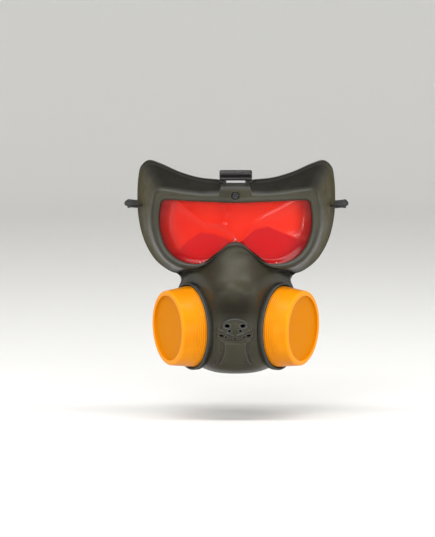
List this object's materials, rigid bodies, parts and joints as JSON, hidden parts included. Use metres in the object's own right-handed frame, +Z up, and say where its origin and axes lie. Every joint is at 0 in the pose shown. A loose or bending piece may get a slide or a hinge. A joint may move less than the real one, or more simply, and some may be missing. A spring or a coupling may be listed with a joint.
{
  "type": "gas mask style costume mask",
  "caption": "Soft moulded costume mask in gas mask style, with a goggle frame and red lens film, round filter drums beside the muzzle, a brow loop and an elastic head strap.",
  "frame": {"origin": "where the brow and the bridge of the nose seat, on the mirror plane and level with the brow's rear edge", "axes": "+Z up, -Y out of the front of the mask, +X to the right of someone who looks at the front"},
  "size_m": [0.1604, 0.244, 0.1514],
  "materials": {
    "shell_pvc": "semi-gloss soft moulded vinyl, very dark warm grey",
    "red_film": "clear red plastic film, glossy, a little wrinkled",
    "orange_plastic": "satin orange plastic",
    "black_plastic": "glossy black plastic",
    "black_elastic": "black woven elastic"
  },
  "bodies": {
    "root": {"face_shell": "shell_pvc", "lens_film": "red_film", "canister_left": "orange_plastic", "canister_right": "orange_plastic", "strap_loop": "black_plastic", "brow_rivet": "black_plastic", "head_strap": "black_elastic"}
  },
  "joints": []
}
